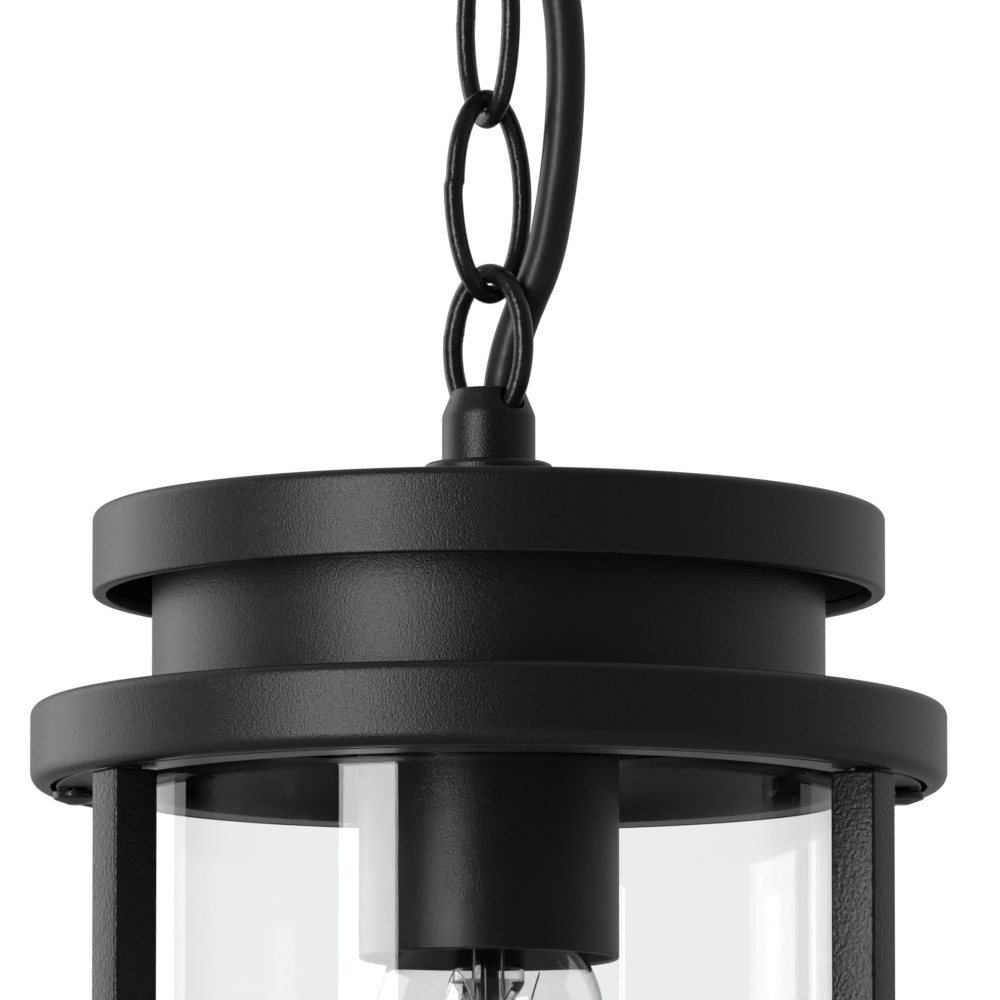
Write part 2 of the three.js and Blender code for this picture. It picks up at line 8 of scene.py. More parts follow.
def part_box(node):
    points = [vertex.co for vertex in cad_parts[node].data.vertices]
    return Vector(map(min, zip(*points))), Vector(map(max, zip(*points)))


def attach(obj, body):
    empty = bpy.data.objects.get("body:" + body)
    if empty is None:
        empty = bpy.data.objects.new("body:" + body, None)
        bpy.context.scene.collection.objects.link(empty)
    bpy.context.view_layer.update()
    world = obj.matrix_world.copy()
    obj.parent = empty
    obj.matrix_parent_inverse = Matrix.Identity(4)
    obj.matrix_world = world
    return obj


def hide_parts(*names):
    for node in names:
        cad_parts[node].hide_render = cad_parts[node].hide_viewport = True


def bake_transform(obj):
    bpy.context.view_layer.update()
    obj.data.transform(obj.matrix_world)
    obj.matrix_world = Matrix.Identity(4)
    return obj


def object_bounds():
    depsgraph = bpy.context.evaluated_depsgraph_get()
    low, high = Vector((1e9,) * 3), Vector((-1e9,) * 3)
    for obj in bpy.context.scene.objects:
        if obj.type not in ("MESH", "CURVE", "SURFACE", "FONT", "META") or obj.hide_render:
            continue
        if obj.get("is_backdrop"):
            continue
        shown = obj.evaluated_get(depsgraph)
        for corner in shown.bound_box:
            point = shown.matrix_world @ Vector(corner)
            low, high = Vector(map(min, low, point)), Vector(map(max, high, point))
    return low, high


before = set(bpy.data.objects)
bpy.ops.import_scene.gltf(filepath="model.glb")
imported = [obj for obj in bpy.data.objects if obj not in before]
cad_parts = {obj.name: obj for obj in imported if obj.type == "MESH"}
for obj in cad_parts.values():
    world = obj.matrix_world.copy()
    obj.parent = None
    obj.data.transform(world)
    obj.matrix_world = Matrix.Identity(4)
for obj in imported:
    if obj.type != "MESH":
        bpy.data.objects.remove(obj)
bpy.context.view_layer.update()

scene = bpy.context.scene
mm = 0.001

# Camera: a long lens below the head, looking up at it a little.
lantern_axis = (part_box("top_cap")[0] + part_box("top_cap")[1]) / 2
ring_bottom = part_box("ring_pan")[0].z
camera_distance = 2.6
camera_tilt = radians(6.8)
look_at = Vector((lantern_axis.x + 2.2 * mm, lantern_axis.y, ring_bottom + 57 * mm))
camera = bpy.data.objects.new("camera", bpy.data.cameras.new("camera"))
camera.data.lens = 478.3
camera.data.sensor_width = 36
camera.data.clip_end = 50
camera.location = look_at - camera_distance * Vector((0, cos(camera_tilt), sin(camera_tilt)))
camera.rotation_euler = (pi / 2 + camera_tilt, 0, 0)
scene.collection.objects.link(camera)
scene.camera = camera


# Supply cable: three cores in a round rubber sheath, 7.6 mm thick and 127.5 mm long. It comes out of
# the loop's head beside the lowest link, bows out past the chain and goes straight up into the rose.
def link_object(name, bm, material, smooth_below=35):
    mesh = bpy.data.meshes.new(name)
    bm.normal_update()
    bm.to_mesh(mesh)
    bm.free()
    mesh.materials.append(material)
    mesh.polygons.foreach_set("use_smooth", [True] * len(mesh.polygons))
    mesh.set_sharp_from_angle(angle=radians(smooth_below))
    piece = bpy.data.objects.new(name, mesh)
    scene.collection.objects.link(piece)
    return piece


def smooth_route(points, steps):
    """A curve through listed points, with the same number of steps between each pair."""
    places = [Vector(p) for p in points]
    places = [2 * places[0] - places[1]] + places + [2 * places[-1] - places[-2]]
    route = []
    for before, here, after, beyond in zip(places, places[1:], places[2:], places[3:]):
        one = (here - before).length ** 0.5
        two = one + (after - here).length ** 0.5
        three = two + (beyond - after).length ** 0.5
        for k in range(steps):
            t = one + (two - one) * k / steps
            a1 = before * (one - t) / one + here * t / one
            a2 = here * (two - t) / (two - one) + after * (t - one) / (two - one)
            a3 = after * (three - t) / (three - two) + beyond * (t - two) / (three - two)
            b1 = a1 * (two - t) / two + a2 * t / two
            b2 = a2 * (three - t) / (three - one) + a3 * (t - one) / (three - one)
            route.append(b1 * (two - t) / (two - one) + b2 * (t - one) / (two - one))
    return route + [places[-2]]


def tube(bm, route, radius, sides, closed=False):
    """Sweeps a round section along a route. radius is one number, or one for each point."""
    sizes = radius if isinstance(radius, list) else [radius] * len(route)
    count = len(route)
    side = Vector((0, 1, 0))
    rings = []
    for i, place in enumerate(route):
        ahead = route[(i + 1) % count] if closed or i + 1 < count else place
        behind = route[i - 1] if closed or i else place
        along = (ahead - behind).normalized()
        side = (side - along * side.dot(along)).normalized()
        up = along.cross(side)
        rings.append([
            bm.verts.new(place + sizes[i] * (cos(2 * pi * k / sides) * side + sin(2 * pi * k / sides) * up))
            for k in range(sides)
        ])
    pairs = list(zip(rings, rings[1:])) + ([(rings[-1], rings[0])] if closed else [])
    for low, high in pairs:
        for k in range(sides):
            bm.faces.new((low[k], low[(k + 1) % sides], high[(k + 1) % sides], high[k]))
    if not closed:
        bm.faces.new(rings[0][::-1])
        bm.faces.new(rings[-1])
    return rings


def new_material(name, colour, roughness, metallic=0.0):
    material = bpy.data.materials.new(name)
    material.use_nodes = True
    shader = material.node_tree.nodes["Principled BSDF"]
    shader.inputs["Base Color"].default_value = (*colour, 1)
    shader.inputs["Roughness"].default_value = roughness
    shader.inputs["Metallic"].default_value = metallic
    return material, shader


def grain(material, shader, scale, depth, rough_from=None, rough_to=None, stretch=(1, 1, 1), detail=3):
    """Fine noise in the object's own space: height for the bump and, if given, a range of roughness."""
    nodes, links = material.node_tree.nodes, material.node_tree.links
    place = nodes.new("ShaderNodeTexCoord")
    fitted = nodes.new("ShaderNodeMapping")
    fitted.inputs["Scale"].default_value = stretch
    links.new(place.outputs["Object"], fitted.inputs["Vector"])
    speckle = nodes.new("ShaderNodeTexNoise")
    speckle.inputs["Scale"].default_value = scale
    speckle.inputs["Detail"].default_value = detail
    links.new(fitted.outputs["Vector"], speckle.inputs["Vector"])
    bump = nodes.new("ShaderNodeBump")
    bump.inputs["Strength"].default_value = 1
    bump.inputs["Distance"].default_value = depth
    links.new(speckle.outputs["Fac"], bump.inputs["Height"])
    if shader.inputs["Normal"].links:
        links.new(shader.inputs["Normal"].links[0].from_socket, bump.inputs["Normal"])
    links.new(bump.outputs["Normal"], shader.inputs["Normal"])
    if rough_from is not None:
        spread = nodes.new("ShaderNodeMapRange")
        spread.inputs["From Min"].default_value = 0.3
        spread.inputs["From Max"].default_value = 0.7
        spread.inputs["To Min"].default_value = rough_from
        spread.inputs["To Max"].default_value = rough_to
        links.new(speckle.outputs["Fac"], spread.inputs["Value"])
        links.new(spread.outputs["Result"], shader.inputs["Roughness"])
    return speckle


sheath, sheath_shader = new_material("cable_sheath", (0.011, 0.011, 0.012), 0.36)
sheath_shader.inputs["Specular IOR Level"].default_value = 0.34
grain(sheath, sheath_shader, 900, 0.00004, 0.3, 0.42)
grain(sheath, sheath_shader, 260, 0.00012, stretch=(1, 1, 0.08))

cable_points = [
    (2.7, 5.7, -145.2), (2.7, 5.7, -143.5), (2.7, 5.7, -141.5), (2.8, 5.5, -137.3), (3.4, 4.7, -133),
    (4.6, 3.6, -128), (6.3, 2.5, -123), (8.3, 1.4, -118.2), (9.7, 0.7, -115), (11.4, 0.4, -109.6),
    (13.2, 0.2, -99.7), (14.4, 0, -90), (15.1, -0.4, -80), (15.2, -0.7, -72), (14.8, -1, -64.2),
    (13.9, -1.2, -57), (13.4, -1.3, -51), (13.2, -1.3, -45), (13.2, -1.3, -38), (13.2, -1.3, -30),
    (13.2, -1.3, -20),
]
cable_route = smooth_route([Vector(p) * mm for p in cable_points], 8)
cable_mesh = bmesh.new()
tube(cable_mesh, cable_route, 3.8 * mm, 40)
cable = link_object("supply_cable_sheath", cable_mesh, sheath)
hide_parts("supply_cable")
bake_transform(cable)

# The same cable goes on inside the lantern: from the loop's bore down to the terminal block.
tail_points = [
    (2.7, 5.7, -145.8), (2.7, 5.7, -147.2), (2.5, 5.35, -150), (1.75, 4.3, -154), (0.85, 2.9, -159),
    (0.3, 2.05, -164), (0.1, 1.7, -172), (0.1, 1.7, -180), (0.1, 1.7, -189),
]
tail_mesh = bmesh.new()
tube(tail_mesh, smooth_route([Vector(p) * mm for p in tail_points], 5), 3.8 * mm, 28)
tail = link_object("cable_tail_sheath", tail_mesh, sheath)
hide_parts("cable_tail")
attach(tail, "lantern")


# Chain: ovals of round steel wire, bent, butt-welded on one leg and painted glossy black. The weld
# stands a little proud and its two ends never meet quite square.
chain_paint, chain_shader = new_material("chain_black", (0.007, 0.007, 0.008), 0.34)
chain_shader.inputs["Specular IOR Level"].default_value = 0.42
grain(chain_paint, chain_shader, 900, 0.0001, 0.16, 0.32)
grain(chain_paint, chain_shader, 240, 0.0002)


def chain_link(name, node, length, width, wire, turn, weld_at, step):
    low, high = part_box(node)
    middle = (low + high) / 2
    tall, wide = (length - wire) / 2, (width - wire) / 2
    across = Vector((cos(radians(turn)), sin(radians(turn)), 0))
    count = 200
    route, sizes = [], []
    for i in range(count):
        spread = 2 * pi * i / count
        angle = radians(weld_at) + spread
        away = (spread if spread < pi else spread - 2 * pi) * (wide + tall) / 2
        out = Vector((cos(angle) / wide, sin(angle) / tall)).normalized()
        shift = step * tanh(away / 0.35) * exp(-(away / 4.5) ** 2)
        r = wide * cos(angle) + shift * out.x
        z = tall * sin(angle) + shift * out.y
        route.append(middle + mm * (r * across + Vector((0, 0, z))))
        bead = 0.045 * exp(-(away / 0.9) ** 2) - 0.05 * exp(-(away / 0.22) ** 2)
        sizes.append(mm * wire / 2 * (1 + bead))
    bm = bmesh.new()
    tube(bm, route, sizes, 28, closed=True)
    piece = link_object(name, bm, chain_paint)
    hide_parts(node)
    return piece


upper_link = chain_link("upper_link_wire", "chain_link_upper", 42.4, 22.6, 3.7, -62, 176, 0.1)
middle_link = chain_link("middle_link_wire", "chain_link_middle", 42.4, 22.6, 3.7, 45, 175, 0.24)
lower_link = chain_link("lower_link_wire", "chain_link_lower", 33.1, 22.5, 3.9, -42, 168, 0.08)
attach(upper_link, "link_upper")
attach(middle_link, "link_middle")
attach(lower_link, "link_lower")


# Head: thin steel pressings with rolled edges, under one coat of fine-textured black powder paint.
def rounded(corners, steps=8):
    """Corners (radius, height, rounding) of a section in mm, with an arc at each rounded one."""
    points = []
    for i, (r, z, *rest) in enumerate(corners):
        here = Vector((r, z))
        if not rest:
            points.append(here)
            continue
        before = Vector(corners[i - 1][:2])
        after = Vector(corners[(i + 1) % len(corners)][:2])
        back, on = (before - here).normalized(), (after - here).normalized()
        half = acos(max(-1, min(1, back.dot(on)))) / 2
        reach = rest[0] / tan(half)
        centre = here + (back + on).normalized() * rest[0] / sin(half)
        start, end = here + back * reach - centre, here + on * reach - centre
        first = atan2(start.y, start.x)
        sweep = (atan2(end.y, end.x) - first + pi) % (2 * pi) - pi
        for k in range(steps + 1):
            angle = first + sweep * k / steps
            points.append(centre + rest[0] * Vector((cos(angle), sin(angle))))
    return points


def spin(bm, section, centre=(0, 0), lift=0.0, segments=144):
    """Turns a closed section about an upright axis. Points on the axis become one vertex. A long straight
    side gets a row close to each end, so that its shading stays true up to the edge."""
    rows = []
    held = []
    for point, after in zip(section, section[1:] + section[:1]):
        start, end = Vector(point[:2]), Vector(after[:2])
        along = end - start
        held.append(start)
        if along.length > 3:
            held += [start + along.normalized() * 0.3, end - along.normalized() * 0.3]
    for point in held:
        r, z = point[0] * mm, point[1] * mm + lift
        if r < 1e-7:
            rows.append([bm.verts.new((centre[0], centre[1], z))] * segments)
            continue
        rows.append([
            bm.verts.new((centre[0] + r * cos(2 * pi * k / segments),
                          centre[1] + r * sin(2 * pi * k / segments), z))
            for k in range(segments)
        ])
    for low, high in zip(rows, rows[1:] + rows[:1]):
        for k in range(segments):
            corners = (low[k], low[(k + 1) % segments], high[(k + 1) % segments], high[k])
            corners = list(dict.fromkeys(corners))
            if len(corners) > 2:
                bm.faces.new(corners)
    bmesh.ops.recalc_face_normals(bm, faces=bm.faces)


axis_xy = (lantern_axis.x, lantern_axis.y)


def turned_piece(name, section, material, slot, body, *nodes, centre=axis_xy, lift=ring_bottom, segments=144):
    bm = bmesh.new()
    spin(bm, section, centre, lift, segments)
    piece = link_object(name, bm, material)
    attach(piece, body)
    if nodes:
        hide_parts(*nodes)
    return piece


def powder_coat(name, coarse, depth, roughness):
    material, shader = new_material(name, (0.0055, 0.0055, 0.0058), roughness)
    shader.inputs["Specular IOR Level"].default_value = 0.42
    grain(material, shader, coarse, depth, roughness - 0.05, roughness + 0.05, detail=2)
    grain(material, shader, coarse * 0.45, depth * 0.25, detail=1)
    return material


fine_coat = powder_coat("powder_coat_fine", 2600, 0.0001, 0.33)

turned_piece(
    "top_cap_pressing",
    rounded([(8.3, 58.5), (18.7, 58.5), (75.7, 52.5, 1), (75.7, 40.9, 0.4), (74.9, 40.3), (74.9, 37.9, 0.3),
             (77.5, 37.9, 0.8), (77.5, 54.3, 2), (18.7, 60.3), (8.3, 60.3)]),
    fine_coat, "black_coat", "lantern", "top_cap", segments=192)
turned_piece(
    "neck_drum_pressing",
    rounded([(64, 16.5), (65.8, 16.5, 0.3), (65.8, 46.9, 1.5), (8.3, 46.9), (8.3, 45.1), (64, 45.1, 0.8)]),
    fine_coat, "black_coat", "lantern", "neck_drum", segments=192)
turned_piece(
    "ring_pressing",
    rounded([(24, 14.4), (87.7, 14.4, 1.5), (87.7, 1.8, 1.5), (85.5, 1.8), (85.5, 0, 0.5), (89.5, 0, 3.2),
             (89.5, 16.2, 2.2), (24, 16.2)]),
    fine_coat, "black_coat", "lantern", "ring_pan", segments=224)

# Collar and seal: a turned washer with a rounded rim, drawn down on a rubber ring so that no rain gets in
# round the stem.
rubber, rubber_shader = new_material("seal_rubber", (0.012, 0.012, 0.012), 0.62)
grain(rubber, rubber_shader, 1600, 0.00005)
turned_piece("collar_turned", rounded([(8.3, 61.6), (12.7, 61.6, 0.4), (12.7, 64.1, 1.3), (8.3, 64.1)]),
             fine_coat, "black_coat", "lantern", "loop_collar", segments=96)
turned_piece("seal_ring", rounded([(8.3, 60.6), (11.5, 60.6, 0.25), (11.5, 61.3, 0.25), (8.3, 61.3)], 4),
             rubber, "black_rubber", "lantern", "loop_seal", segments=72)


# Chain loop: a turned steel stem, tapered at the head, with a hole across it that the lowest link was
# closed through and a bore down it for the cable. Its coat is the head's own.
def cut_away(piece, *cutters):
    for cutter in cutters:
        cut = piece.modifiers.new("cut", "BOOLEAN")
        cut.operation = "DIFFERENCE"
        cut.solver = "EXACT"
        cut.object = cutter
    bpy.context.view_layer.update()
    made = bpy.data.meshes.new_from_object(piece.evaluated_get(bpy.context.evaluated_depsgraph_get()))
    piece.modifiers.clear()
    piece.data = made
    made.polygons.foreach_set("use_smooth", [True] * len(made.polygons))
    made.set_sharp_from_angle(angle=radians(30))
    for cutter in cutters:
        bpy.data.objects.remove(cutter, do_unlink=True)


stem_mesh = bmesh.new()
spin(stem_mesh, rounded([(0, 37.4), (8, 37.4), (8, 64.4), (9.15, 64.4), (9.15, 73.5, 3.5), (7, 78.7, 0.8),
                         (0, 78.7)]), axis_xy, ring_bottom, 96)
stem = link_object("chain_loop_stem", stem_mesh, fine_coat)
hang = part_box("chain_link_lower")[0].z + 1.95 * mm
slots = []
half_width, half_height, slot_radius = 9.3, 14.6, 2.25
for swing in (-9, 0, 9):
    slot_mesh = bmesh.new()
    link_centre = (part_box("chain_link_lower")[0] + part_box("chain_link_lower")[1]) / 2
    across = Vector((cos(radians(-42)), sin(radians(-42)), 0))
    about_hang = Matrix.Rotation(radians(swing), 4, across)
    turn = Matrix.Translation((0, 0, hang)) @ about_hang @ Matrix.Translation((0, 0, -hang))
    oval = [turn @ (link_centre + mm * (half_width * cos(2 * pi * i / 96) * across
                                        + Vector((0, 0, half_height * sin(2 * pi * i / 96)))))
            for i in range(96)]
    tube(slot_mesh, oval, slot_radius * mm, 24, closed=True)
    slots.append(link_object("slot_cutter", slot_mesh, fine_coat))
bore_mesh = bmesh.new()
bore_points = [(3.4, 4.4, -131), (2.8, 5.5, -137.3), (2.7, 5.7, -142)] + tail_points + [(0.1, 1.7, -200)]
tube(bore_mesh, smooth_route([Vector(p) * mm for p in bore_points], 5), 4.15 * mm, 36)
cut_away(stem, *slots, link_object("bore_cutter", bore_mesh, fine_coat))
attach(stem, "lantern")
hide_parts("chain_loop")

# Ceiling rose: a deep-drawn steel cup that hides the terminals, held up by a nut on the eye bolt.
turned_piece("rose_cover_cup",
             rounded([(3.3, -26), (45, -26, 5), (45, -0.3, 0.4), (43.6, -0.3, 0.4), (43.6, -24.6, 4),
                      (3.3, -24.6)]),
             fine_coat, "black_coat", "ceiling_rose", centre=(0, 0), lift=0, segments=128)
rose_cup = bpy.data.objects["rose_cover_cup"]
gland_hole = bmesh.new()
spin(gland_hole, [(0, -30), (5.3, -30), (5.3, -20), (0, -20)], (13.2 * mm, -1.3 * mm), 0, 64)
cut_away(rose_cup, link_object("gland_cutter", gland_hole, fine_coat))
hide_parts("rose_cover")

# Strain relief: moulded rubber bush, with ribs that let it bend and a long taper on to the cable.
gland_section = [(4.1, -47), (4.7, -47, 0.3)]
for rib in range(5):
    height = -44 + rib * 2.9
    wide = 4.85 + rib * 0.22
    gland_section += [(wide, height, 0.25), (wide - 0.55, height + 0.5, 0.2), (wide - 0.5, height + 1.2, 0.2),
                      (wide + 0.1, height + 1.6, 0.25)]
gland_section += [(6, -29.2), (6.5, -29.2, 0.5), (6.5, -26.3, 0.3), (5, -26.3), (5, -24.3), (6.4, -24.3),
                  (6.4, -21.6, 0.5), (4.1, -21.6)]
turned_piece("gland_moulding", rounded(gland_section, 4), rubber, "black_rubber", "ceiling_rose", "rose_gland",
             centre=(13.2 * mm, -1.3 * mm), lift=0, segments=72)

# Eye bolt: 4.2 mm wire bent to a closed eye on a threaded shank, painted like the chain.
eye_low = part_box("eye_bolt")[0]
eye_centre = Vector((0, 0, eye_low.z + 10.1 * mm))
eye_mesh = bmesh.new()
eye_across = Vector((cos(radians(28)), sin(radians(28)), 0))
eye_radius, eye_wire = 8, 4.2
eye_turns = [2 * pi * i / 96 for i in range(96)]
tube(eye_mesh, [eye_centre + eye_radius * mm * (cos(turn) * eye_across + Vector((0, 0, sin(turn))))
                for turn in eye_turns], eye_wire / 2 * mm, 28, closed=True)
eye = link_object("eye_bolt_ring", eye_mesh, chain_paint)
shank_section = [(0, -33.3), (2.9, -33.3, 0.4)]
for thread in range(26):
    shank_section += [(3, -31.8 + thread), (2.65, -31.3 + thread)]
shank_section += [(2.7, -6.1), (0, -6.1)]
shank = bmesh.new()
spin(shank, rounded(shank_section, 4), (0, 0), 0, 40)
zinc, zinc_shader = new_material("zinc_plate", (0.46, 0.47, 0.49), 0.34, 1.0)
grain(zinc, zinc_shader, 420, 0.00003, 0.26, 0.44)
shank_piece = link_object("eye_bolt_shank", shank, zinc)
for piece in (eye, shank_piece):
    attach(piece, "ceiling_rose")
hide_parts("eye_bolt")


# Nuts: six-sided, with the corners turned off at both faces.
def hex_nut(name, node, across_flats, bore, material, body):
    low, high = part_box(node)
    middle = (low + high) / 2
    bm = bmesh.new()
    corner = across_flats / 2 / cos(pi / 6)
    rows = []
    tall = (high.z - low.z) / mm
    chamfer = (corner - across_flats / 2) * 0.55
    for height, inset in ((0, 1), (chamfer, 0), (tall - chamfer, 0), (tall, 1)):
        row = []
        for k in range(72):
            angle = 2 * pi * k / 72
            flat = across_flats / 2 / cos((angle + pi / 6) % (pi / 3) - pi / 6)
            size = min(flat, across_flats / 2 * 0.985) if inset else flat
            row.append(bm.verts.new((middle.x + mm * size * cos(angle), middle.y + mm * size * sin(angle),
                                     low.z + mm * height)))
        rows.append(row)
    for height in (tall, 0):
        rows.append([bm.verts.new((middle.x + mm * bore * cos(2 * pi * k / 72),
                                   middle.y + mm * bore * sin(2 * pi * k / 72),
                                   low.z + mm * height)) for k in range(72)])
    for one, two in zip(rows, rows[1:] + rows[:1]):
        for k in range(72):
            bm.faces.new((one[k], one[(k + 1) % 72], two[(k + 1) % 72], two[k]))
    bmesh.ops.recalc_face_normals(bm, faces=bm.faces)
    piece = link_object(name, bm, material, 20)
    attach(piece, body)
    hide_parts(node)


hex_nut("eye_nut_black", "eye_nut", 10, 3.3, chain_paint, "ceiling_rose")
hex_nut("loop_nut_zinc", "loop_nut", 22, 8.3, zinc, "lantern")

# Back plate, boss, spacer, washer, strap, bushes and strap screws: plain zinc-plated steel.
for node in ("ceiling_plate", "rose_boss", "cap_spacer", "loop_washer", "holder_strap", "ring_boss_1", "ring_boss_2",
             "holder_screw_1", "holder_screw_2"):
    for part_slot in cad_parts[node].material_slots:
        part_slot.material = zinc

# Terminal blocks and cable clamp: moulded white nylon.
nylon, nylon_shader = new_material("white_nylon", (0.72, 0.72, 0.69), 0.45)
nylon_shader.inputs["Subsurface Weight"].default_value = 0.1
grain(nylon, nylon_shader, 500, 0.00004)
for node in ("rose_terminal", "terminal_block", "cable_clamp"):
    for part_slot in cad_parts[node].material_slots:
        part_slot.material = nylon

# Cores: soft coloured insulation, from the cable's end to the block.
for node, name, colour in (("core_live", "brown_insulation", (0.12, 0.05, 0.02)),
                           ("core_neutral", "blue_insulation", (0.02, 0.1, 0.35)),
                           ("core_earth", "green_insulation", (0.12, 0.28, 0.03))):
    insulation, insulation_shader = new_material(name, colour, 0.4)
    grain(insulation, insulation_shader, 800, 0.00003)
    for part_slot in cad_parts[node].material_slots:
        part_slot.material = insulation

# Cup: a spun steel sleeve over the lampholder, coated inside and out, open at the bottom.
turned_piece("lamp_cup_spinning",
             rounded([(24.25, -33.3, 0.5), (25.45, -33.3, 0.6), (25.45, 14.1, 0.8), (20, 14.1), (20, 12.9),
                      (24.25, 12.9, 0.6)]),
             fine_coat, "black_coat", "lantern", "lamp_cup", segments=128)

# Lampholder: glazed ceramic with a brass screw shell inside and a sprung contact above it.
ceramic, ceramic_shader = new_material("holder_ceramic", (0.62, 0.6, 0.55), 0.25)
ceramic_shader.inputs["Coat Weight"].default_value = 0.3
grain(ceramic, ceramic_shader, 300, 0.00005)
turned_piece("holder_body_ceramic",
             rounded([(0, 5.2), (14.4, 5.2), (14.4, -25.3, 0.6), (19, -25.3, 1.4), (19, 16.2, 1.5),
                      (0, 16.2)]),
             ceramic, "ceramic", "lantern", "holder_body", segments=96)
brass, brass_shader = new_material("brass_strip", (0.7, 0.5, 0.2), 0.3, 1.0)
grain(brass, brass_shader, 500, 0.00003, 0.24, 0.4)
shell_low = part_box("screw_shell")[0].z - ring_bottom
shell_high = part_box("screw_shell")[1].z - ring_bottom
shell_section = []
turns = int((shell_high - shell_low) / mm / 3.6)
for k in range(turns * 8 + 1):
    height = shell_low / mm + k * 0.45
    shell_section.append((13.78 + 0.28 * cos(k * pi / 4), height))
shell_section += [(r - 0.35, z) for r, z in reversed(shell_section)]
turned_piece("screw_shell_pressing", shell_section, brass, "brass", "lantern", "screw_shell", segments=72)
for part_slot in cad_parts["centre_contact"].material_slots:
    part_slot.material = brass


# Gaskets: flat silicone rings that seal the glass at both ends.
def gasket(name, node, body):
    bottom, top = ((corner.z - ring_bottom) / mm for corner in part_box(node))
    inner, outer = 68.7, 73.1
    section = rounded([(inner, bottom, 0.3), (outer, bottom, 0.3), (outer, top, 0.3), (inner, top, 0.3)], 4)
    turned_piece(name, section, rubber, "black_rubber", body, node, segments=160)


gasket("top_gasket_ring", "top_gasket", "lantern")
gasket("bottom_gasket_ring", "bottom_gasket", "cage")


# Glass tube: clear drawn glass with fire-polished ends.
def clear_glass(name, tint, wave):
    material, shader = new_material(name, tint, 0.0)
    shader.inputs["Transmission Weight"].default_value = 1
    shader.inputs["IOR"].default_value = 1.47
    if wave:
        grain(material, shader, 30, wave, detail=1)
    return material


glass_tube_clear = clear_glass("glass_clear", (0.966, 0.972, 0.974), 0.00001)
glass_low, glass_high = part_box("glass_tube")
glass_bottom, glass_top = (glass_low.z - ring_bottom) / mm, (glass_high.z - ring_bottom) / mm
glass_inner, glass_outer = 69.3, 72.5
turned_piece("glass_cylinder",
             rounded([(glass_inner, glass_bottom, 0.9), (glass_outer, glass_bottom, 0.9),
                      (glass_outer, glass_top, 0.9), (glass_inner, glass_top, 0.9)]),
             glass_tube_clear, "clear_glass", "cage", "glass_tube", segments=256)


# Cage: two flat steel rings in the head's coat, and three square bars between them under a coarser one.
bar_coat = powder_coat("powder_coat_coarse", 1300, 0.0002, 0.34)
flat_inner, flat_outer = 74.8, 84.4
for name, node in (("upper_flat_ring", "cage_ring_top"), ("lower_flat_ring", "cage_ring_bottom")):
    low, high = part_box(node)
    bottom, top = (low.z - ring_bottom) / mm, (high.z - ring_bottom) / mm
    section = rounded([(flat_inner, bottom, 0.4), (flat_outer, bottom, 0.4), (flat_outer, top, 0.4),
                       (flat_inner, top, 0.4)], 4)
    turned_piece(name, section, fine_coat, "black_coat", "cage", node, segments=192)


post_circle = 81.9


def square_bar(name, node, angle, side=9.4, edge=0.7):
    low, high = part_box(node)
    bm = bmesh.new()
    bmesh.ops.create_cube(bm, size=1)
    bmesh.ops.scale(bm, vec=(side * mm, side * mm, high.z - low.z), verts=bm.verts)
    bmesh.ops.bevel(bm, geom=bm.edges, offset=edge * mm, segments=4, profile=0.5, affect="EDGES")
    bmesh.ops.translate(bm, vec=(post_circle * mm, 0, (low.z + high.z) / 2), verts=bm.verts)
    bmesh.ops.rotate(bm, cent=(0, 0, 0), matrix=Matrix.Rotation(radians(angle), 3, "Z"), verts=bm.verts)
    bmesh.ops.translate(bm, vec=(*axis_xy, 0), verts=bm.verts)
    piece = link_object(name, bm, bar_coat)
    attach(piece, "cage")
    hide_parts(node)


for number in range(3):
    square_bar(f"square_bar_{number + 1}", f"post_{number + 1}", 91.5 + 120 * number)

# Base: the ring's own pressing with a closed top, so that rain runs off it and insects stay out.
base_top = (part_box("base_pan")[1].z - ring_bottom) / mm
base_bottom = (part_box("base_pan")[0].z - ring_bottom) / mm
base = turned_piece("base_pressing",
                    rounded([(0, base_top - 1.8), (87.7, base_top - 1.8, 1.5), (87.7, base_bottom + 1.8, 1.5),
                             (85.5, base_bottom + 1.8), (85.5, base_bottom, 0.5), (89.5, base_bottom, 2.2),
                             (89.5, base_top, 2.2), (0, base_top)]),
                    fine_coat, "black_coat", "cage", "base_pan", segments=224)
drain = bmesh.new()
spin(drain, [(0, base_top - 4), (2.5, base_top - 4), (2.5, base_top + 2), (0, base_top + 2)], axis_xy,
     ring_bottom, 40)
cut_away(base, link_object("drain_cutter", drain, fine_coat))


# Post screws: pan-head steel screws with a cross recess, up through the base and down through the top ring.
def pan_screw(name, node, head_up):
    low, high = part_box(node)
    centre = (low + high) / 2
    length = (high.z - low.z) / mm
    section = rounded([(0, 0), (2, 0, 0.3), (2, length - 2.2), (3.6, length - 2.2, 0.3), (3.6, length, 1.6),
                       (0, length)], 5)
    bm = bmesh.new()
    spin(bm, section, (0, 0), 0, 48)
    piece = link_object(name, bm, zinc)
    arms = []
    for quarter in range(2):
        arm = bmesh.new()
        bmesh.ops.create_cube(arm, size=1)
        bmesh.ops.scale(arm, vec=(3.4 * mm, 0.75 * mm, 2.6 * mm), verts=arm.verts)
        quarter_turn = Matrix.Rotation(quarter * pi / 2, 3, "Z")
        bmesh.ops.rotate(arm, cent=(0, 0, 0), matrix=quarter_turn, verts=arm.verts)
        bmesh.ops.translate(arm, vec=(0, 0, length * mm), verts=arm.verts)
        arms.append(link_object("recess_cutter", arm, zinc))
    cut_away(piece, *arms)
    flip = Matrix.Identity(4) if head_up else Matrix.Rotation(pi, 4, "X")
    foot = low.z if head_up else high.z
    piece.data.transform(Matrix.Translation((centre.x, centre.y, foot)) @ flip)
    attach(piece, "cage")
    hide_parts(node)


for number in (1, 2, 3):
    pan_screw(f"top_screw_{number}", f"post_screw_top_{number}", True)
    pan_screw(f"base_screw_{number}", f"post_screw_base_{number}", False)


